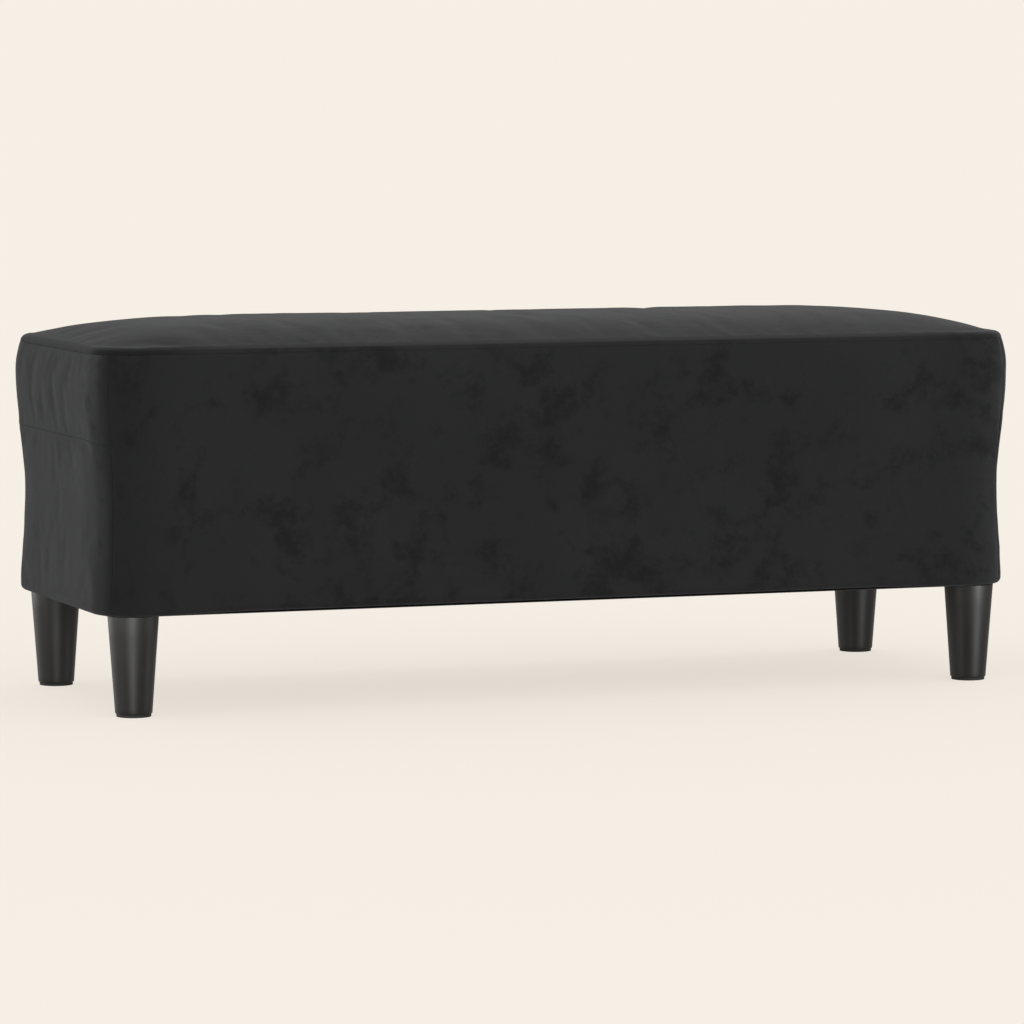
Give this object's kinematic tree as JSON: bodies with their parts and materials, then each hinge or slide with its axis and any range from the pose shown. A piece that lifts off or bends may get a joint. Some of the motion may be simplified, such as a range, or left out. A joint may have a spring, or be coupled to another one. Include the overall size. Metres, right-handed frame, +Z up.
{
  "type": "bed bench",
  "caption": "Long upholstered box bench with a crowned seat in black pile cloth, standing on tapered round legs.",
  "frame": {"origin": "on the floor under the middle of the bench, in the plane of the glides' undersides", "axes": "+X along the length, towards the bench's right end; -Y out of the front; +Z up"},
  "size_m": [1.0078, 0.3578, 0.3907],
  "materials": {
    "moulded_plastic": "black moulded plastic, semi-gloss",
    "glide_rubber": "matt black",
    "plated_steel": "zinc plated",
    "pine": "planed, unfinished",
    "hardboard": "smooth side out",
    "plywood": "sanded, unfinished",
    "beech": "fluted dowel stock",
    "padding_foam": "open-cell foam sheet",
    "seat_foam": "open-cell foam block",
    "wadding": "polyester fibre",
    "pile_cloth": "black velvet with a soft directional pile",
    "dust_cloth": "black bonded non-woven"
  },
  "bodies": {
    "root": {"leg_front_left": "moulded_plastic", "leg_front_right": "moulded_plastic", "leg_rear_left": "moulded_plastic", "leg_rear_right": "moulded_plastic", "foot_glides": "glide_rubber", "leg_studs": "plated_steel", "threaded_inserts": "plated_steel", "corner_block_front_left": "pine", "corner_block_front_right": "pine", "corner_block_rear_left": "pine", "corner_block_rear_right": "pine", "base_rail_front": "pine", "base_rail_rear": "pine", "base_rail_left": "pine", "base_rail_right": "pine", "base_cross_rail": "pine", "corner_post_front_left": "pine", "corner_post_front_right": "pine", "corner_post_rear_left": "pine", "corner_post_rear_right": "pine", "mid_post_front": "pine", "mid_post_rear": "pine", "top_rail_front": "pine", "top_rail_rear": "pine", "top_rail_left": "pine", "top_rail_right": "pine", "top_cross_rail_left": "pine", "top_cross_rail_right": "pine", "front_panel": "hardboard", "rear_panel": "hardboard", "left_panel": "hardboard", "right_panel": "hardboard", "seat_deck": "plywood", "frame_dowels": "beech", "deck_screws": "plated_steel", "panel_staples": "plated_steel", "hem_staples": "plated_steel", "padding_front": "padding_foam", "padding_rear": "padding_foam", "padding_left": "padding_foam", "padding_right": "padding_foam", "seat_foam": "seat_foam", "seat_wadding": "wadding", "cover_top": "pile_cloth", "cover_front": "pile_cloth", "cover_rear": "pile_cloth", "cover_left_lower": "pile_cloth", "cover_left_upper": "pile_cloth", "cover_right_lower": "pile_cloth", "cover_right_upper": "pile_cloth", "dust_cover": "dust_cloth"}
  },
  "joints": []
}
